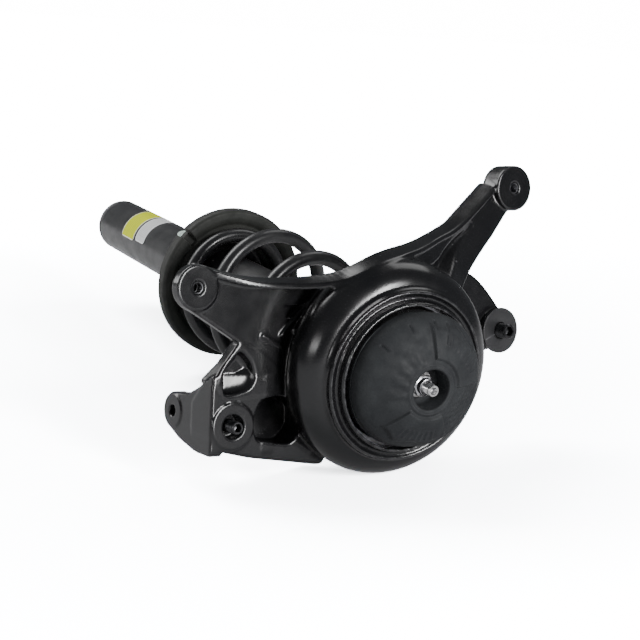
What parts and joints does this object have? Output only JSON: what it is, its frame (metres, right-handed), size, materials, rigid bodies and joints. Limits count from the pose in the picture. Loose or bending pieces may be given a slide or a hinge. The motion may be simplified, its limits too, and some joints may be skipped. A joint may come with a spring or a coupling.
{
  "type": "suspension strut assembly",
  "caption": "Coil-over suspension strut whose damper tube and spring seat slide up the rod below a cast, dome-shaped top bracket with four body pads and a pair of hanging ears.",
  "frame": {"origin": "centre of the flat face at the damper tube's closed foot", "axes": "+Z along the damper axis towards the rod's threaded tip; the long front arm points mostly along +X; the rear pad lies towards +Y"},
  "size_m": [0.3455, 0.3092, 0.64],
  "materials": {
    "bracket_paint": "smooth gloss black coating on a casting",
    "tube_paint": "satin black paint",
    "spring_coating": "satin black powder coat with a fine grain",
    "black_rubber": "matte moulded rubber",
    "bright_steel": "turned or plated steel",
    "dark_zinc": "dull zinc plating",
    "bump_foam": "matte polyurethane foam",
    "yellow_film": "printed film with a pale border, no text",
    "silver_film": "pale printed film, no text",
    "sticker_film": "pale green paper sticker",
    "ptfe_band": "smooth low-friction band"
  },
  "bodies": {
    "bracket": {"mount_bracket": "bracket_paint", "top_mount_rubber": "black_rubber", "mount_sleeve": "dark_zinc", "mount_clamp_ring": "dark_zinc", "upper_spring_seat": "tube_paint", "upper_spring_pad": "black_rubber", "rod_nut": "bright_steel", "rod_washer": "bright_steel", "piston_rod": "bright_steel", "piston": "dark_zinc", "piston_band": "ptfe_band", "valve_shims": "bright_steel", "piston_nut": "dark_zinc", "rebound_stop": "black_rubber", "bump_stop": "bump_foam", "bump_stop_cup": "dark_zinc", "dust_boot": "black_rubber", "coil_spring": "spring_coating", "stud_c": "dark_zinc", "stud_d": "dark_zinc", "washer_d": "bracket_paint", "thread_insert_b": "bright_steel", "thread_insert_e": "bright_steel"},
    "damper": {"damper_tube": "tube_paint", "tube_end_cap": "tube_paint", "base_valve": "dark_zinc", "pressure_tube": "bright_steel", "rod_guide": "dark_zinc", "rod_seal": "black_rubber", "tube_top_cap": "dark_zinc", "lower_spring_seat": "tube_paint", "lower_spring_pad": "black_rubber", "yellow_label": "yellow_film", "silver_label": "silver_film", "round_sticker": "sticker_film"}
  },
  "joints": [
    {"name": "strut_compression", "type": "slide", "parent": "bracket", "child": "damper", "axis": [0, 0, 1], "range_m": [0, 0.1], "stiffness_N_per_m": 30000, "springref_m": -0.05, "deforming": ["coil_spring", "dust_boot"]}
  ]
}
